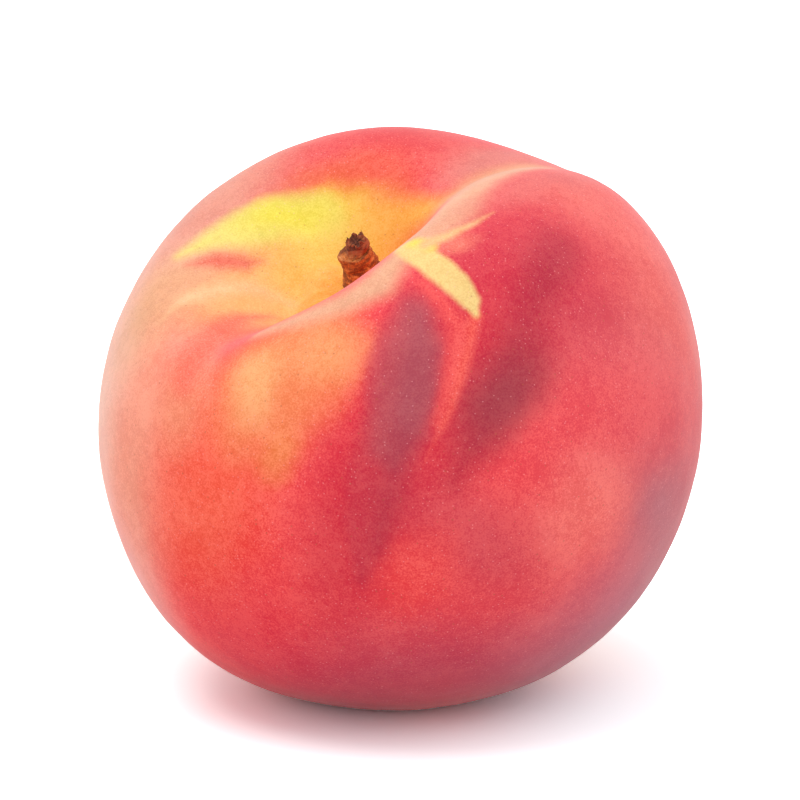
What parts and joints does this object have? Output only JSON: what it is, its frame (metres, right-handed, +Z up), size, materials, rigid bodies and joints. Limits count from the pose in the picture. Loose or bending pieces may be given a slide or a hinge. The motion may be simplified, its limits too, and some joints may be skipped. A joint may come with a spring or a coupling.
{
  "type": "peach",
  "caption": "Ripe peach at rest on a small flat spot, with a deep stem cavity, a suture and a short woody stem stub.",
  "frame": {"origin": "centre of the plan view, on the surface that the fruit rests on", "axes": "+Z up as the fruit rests on its flat spot, -Y towards the front, which shows the near lobe with the stem cavity above it"},
  "size_m": [0.0754, 0.0748, 0.0691],
  "materials": {
    "skin": "matte, velvety skin blushed from yellow and orange to crimson",
    "stem": "rough dry bark"
  },
  "bodies": {
    "root": {"fruit": "skin", "stem": "stem"}
  },
  "joints": []
}
